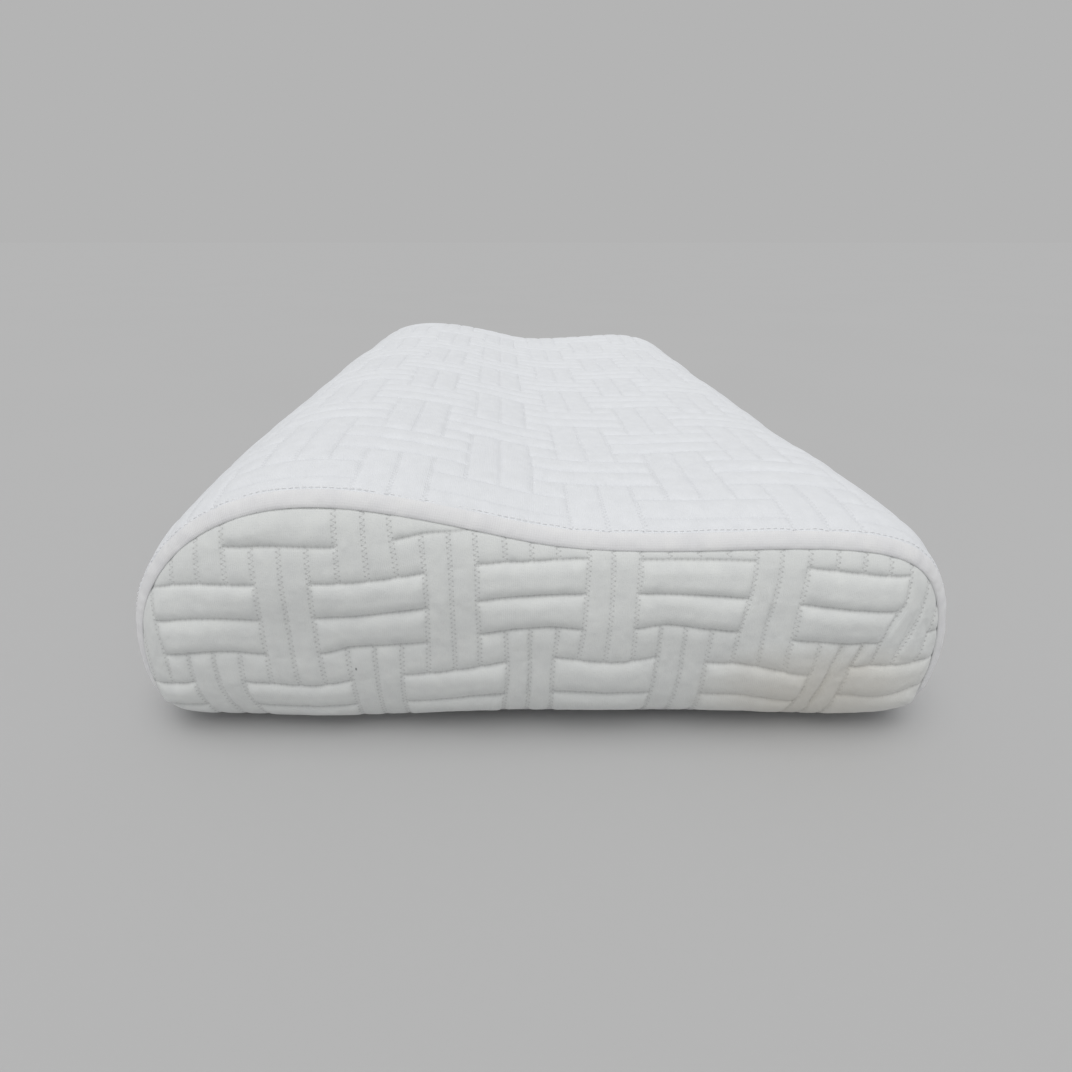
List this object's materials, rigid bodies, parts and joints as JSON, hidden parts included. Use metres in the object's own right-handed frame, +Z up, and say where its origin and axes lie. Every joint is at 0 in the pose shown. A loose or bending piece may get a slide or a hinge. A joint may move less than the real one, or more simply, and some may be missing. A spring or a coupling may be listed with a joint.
{
  "type": "contour bed pillow",
  "caption": "Contour memory-foam bed pillow with a tall and a low lobe, a basket-weave quilted knit cover with welted ends, and a side zip.",
  "frame": {"origin": "centre of the flat underside, on the floor plane", "axes": "+Y along the pillow's length, with one quilted end at -Y and one at +Y; +X from the tall lobe and the zip towards the low lobe; +Z up"},
  "size_m": [0.4036, 0.6004, 0.1331],
  "materials": {
    "cover_quilt": "white quilted jersey knit, matt",
    "end_quilt": "white quilted jersey knit, matt",
    "welt_knit": "plain padded jersey knit, matt",
    "thread": "polyester sewing thread",
    "liner_knit": "thin plain knit",
    "memory_foam": "open-cell polyurethane foam",
    "zip_tape": "woven polyester tape",
    "zip_coil": "polyester monofilament coil",
    "zip_stop": "moulded plastic",
    "zip_slider": "white enamelled zinc, semi-gloss",
    "label_tape": "blank satin tape"
  },
  "bodies": {
    "cover": {"foam_core": "memory_foam", "core_liner": "liner_knit", "cover_body": "cover_quilt", "end_panel_front": "end_quilt", "end_panel_back": "end_quilt", "edge_welt_front": "welt_knit", "edge_welt_back": "welt_knit", "topstitch_front": "thread", "topstitch_back": "thread", "zipper_tape_upper": "zip_tape", "zipper_tape_lower": "zip_tape", "zipper_coil_upper": "zip_coil", "zipper_coil_lower": "zip_coil", "zipper_top_stops": "zip_stop", "zipper_bottom_stop": "zip_stop", "zipper_stitching": "thread", "zipper_bartacks": "thread", "care_label": "label_tape"},
    "slider": {"zipper_slider": "zip_slider"},
    "pull": {"zipper_pull": "zip_slider"}
  },
  "joints": [
    {"name": "zipper_slide", "type": "slide", "parent": "cover", "child": "slider", "axis": [0, 1, 0], "range_m": [0, 0.4176]},
    {"name": "pull_hinge", "type": "hinge", "parent": "slider", "child": "pull", "pos_m": [-0.20169, -0.2088, 0.03772], "axis": [0, 0, 1], "range_deg": [0, 165]}
  ]
}
